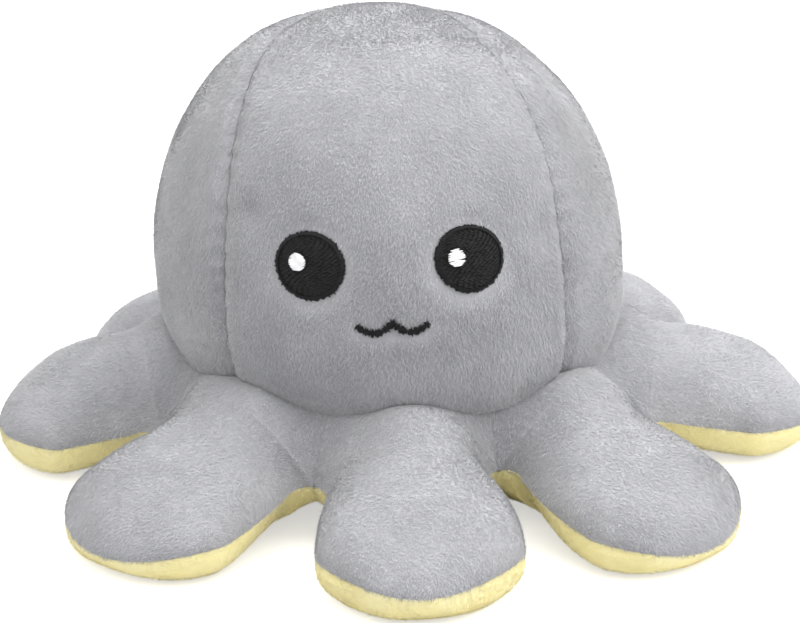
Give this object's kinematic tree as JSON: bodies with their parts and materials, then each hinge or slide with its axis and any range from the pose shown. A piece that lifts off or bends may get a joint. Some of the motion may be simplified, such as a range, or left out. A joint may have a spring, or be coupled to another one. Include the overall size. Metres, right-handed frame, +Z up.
{
  "type": "plush octopus",
  "caption": "Plush toy octopus: a stuffed ball head with a stitched face on a ring of paddle-shaped tentacles, and a lined pocket that opens underneath.",
  "frame": {"origin": "on the ground, in the middle of the tentacle ring, under the toy", "axes": "+Z up, the face towards -Y, +X to the viewer's right"},
  "size_m": [0.1996, 0.1995, 0.1095],
  "materials": {
    "grey_plush": "matte",
    "yellow_plush": "matte",
    "stuffing": "matte",
    "black_thread": "satin",
    "white_thread": "satin"
  },
  "bodies": {
    "head": {"eye_left": "black_thread", "eye_left_highlight": "white_thread", "eye_right": "black_thread", "eye_right_highlight": "white_thread", "head_panel_back": "grey_plush", "head_panel_front": "grey_plush", "head_panel_left": "grey_plush", "head_panel_right": "grey_plush", "head_stuffing": "stuffing", "lining_eye_left": "black_thread", "lining_eye_left_highlight": "white_thread", "lining_eye_right": "black_thread", "lining_eye_right_highlight": "white_thread", "lining_mouth": "black_thread", "lining_panel_back": "yellow_plush", "lining_panel_front": "yellow_plush", "lining_panel_left": "yellow_plush", "lining_panel_right": "yellow_plush", "mouth": "black_thread", "skirt_top": "grey_plush", "underside_ring": "yellow_plush"},
    "tentacle_front": {"tentacle_front_stuffing": "stuffing", "tentacle_front_top": "grey_plush", "tentacle_front_underside": "yellow_plush"},
    "tentacle_front_right": {"tentacle_front_right_stuffing": "stuffing", "tentacle_front_right_top": "grey_plush", "tentacle_front_right_underside": "yellow_plush"},
    "tentacle_right": {"tentacle_right_stuffing": "stuffing", "tentacle_right_top": "grey_plush", "tentacle_right_underside": "yellow_plush"},
    "tentacle_back_right": {"tentacle_back_right_stuffing": "stuffing", "tentacle_back_right_top": "grey_plush", "tentacle_back_right_underside": "yellow_plush"},
    "tentacle_back": {"tentacle_back_stuffing": "stuffing", "tentacle_back_top": "grey_plush", "tentacle_back_underside": "yellow_plush"},
    "tentacle_back_left": {"tentacle_back_left_stuffing": "stuffing", "tentacle_back_left_top": "grey_plush", "tentacle_back_left_underside": "yellow_plush"},
    "tentacle_left": {"tentacle_left_stuffing": "stuffing", "tentacle_left_top": "grey_plush", "tentacle_left_underside": "yellow_plush"},
    "tentacle_front_left": {"tentacle_front_left_stuffing": "stuffing", "tentacle_front_left_top": "grey_plush", "tentacle_front_left_underside": "yellow_plush"}
  },
  "joints": [
    {"name": "bend_front", "type": "hinge", "parent": "head", "child": "tentacle_front", "pos_m": [0.00305, -0.04991, 0.0155], "axis": [-0.9981, -0.061, 0], "range_deg": [-25, 18], "stiffness_Nm_per_rad": 0.012},
    {"name": "bend_front_right", "type": "hinge", "parent": "head", "child": "tentacle_front_right", "pos_m": [0.03566, -0.03504, 0.0155], "axis": [-0.7009, -0.7133, 0], "range_deg": [-25, 18], "stiffness_Nm_per_rad": 0.012},
    {"name": "bend_right", "type": "hinge", "parent": "head", "child": "tentacle_right", "pos_m": [0.04978, 0.0047, 0.0155], "axis": [0.0941, -0.9956, 0], "range_deg": [-25, 18], "stiffness_Nm_per_rad": 0.012},
    {"name": "bend_back_right", "type": "hinge", "parent": "head", "child": "tentacle_back_right", "pos_m": [0.0328, 0.03773, 0.0155], "axis": [0.7547, -0.6561, 0], "range_deg": [-25, 18], "stiffness_Nm_per_rad": 0.012},
    {"name": "bend_back", "type": "hinge", "parent": "head", "child": "tentacle_back", "pos_m": [-0.00392, 0.04985, 0.0155], "axis": [0.9969, 0.0785, 0], "range_deg": [-25, 18], "stiffness_Nm_per_rad": 0.012},
    {"name": "bend_back_left", "type": "hinge", "parent": "head", "child": "tentacle_back_left", "pos_m": [-0.03836, 0.03207, 0.0155], "axis": [0.6414, 0.7672, 0], "range_deg": [-25, 18], "stiffness_Nm_per_rad": 0.012},
    {"name": "bend_left", "type": "hinge", "parent": "head", "child": "tentacle_left", "pos_m": [-0.04999, -0.00113, 0.0155], "axis": [-0.0227, 0.9997, 0], "range_deg": [-25, 18], "stiffness_Nm_per_rad": 0.012},
    {"name": "bend_front_left", "type": "hinge", "parent": "head", "child": "tentacle_front_left", "pos_m": [-0.0328, -0.03773, 0.0155], "axis": [-0.7547, 0.6561, 0], "range_deg": [-25, 18], "stiffness_Nm_per_rad": 0.012}
  ]
}
